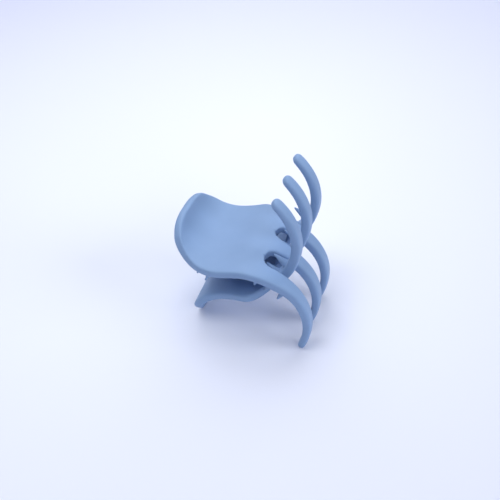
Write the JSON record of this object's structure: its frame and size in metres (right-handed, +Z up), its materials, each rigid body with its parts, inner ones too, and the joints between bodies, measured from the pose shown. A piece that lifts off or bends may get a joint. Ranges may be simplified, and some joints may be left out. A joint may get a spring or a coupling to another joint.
{
  "type": "claw clip",
  "caption": "Hair claw clip: identical curved jaws with interlocking claws and flared finger handles, hinged on a steel pin and held shut by a torsion spring.",
  "frame": {"origin": "centre of the overall box in X and Y, at the table the clip lies on in Z, with the clip lying on its side as it comes to rest", "axes": "+X from the finger handles to the claws, +Y along the hinge pin, +Z up from the table"},
  "size_m": [0.0438, 0.0352, 0.0465],
  "materials": {
    "jaw_plastic": "soft-touch matte, light blue",
    "steel": "bright drawn wire"
  },
  "bodies": {
    "lower_jaw": {"lower_jaw": "jaw_plastic", "hinge_pin": "steel", "torsion_spring": "steel"},
    "upper_jaw": {"upper_jaw": "jaw_plastic"}
  },
  "joints": [
    {"name": "hinge", "type": "hinge", "parent": "lower_jaw", "child": "upper_jaw", "pos_m": [-0.00292, 0, 0.01899], "axis": [0, -1, 0], "range_deg": [0, 50], "stiffness_Nm_per_rad": 0.06, "springref_deg": -45.84, "deforming": ["torsion_spring"]}
  ]
}
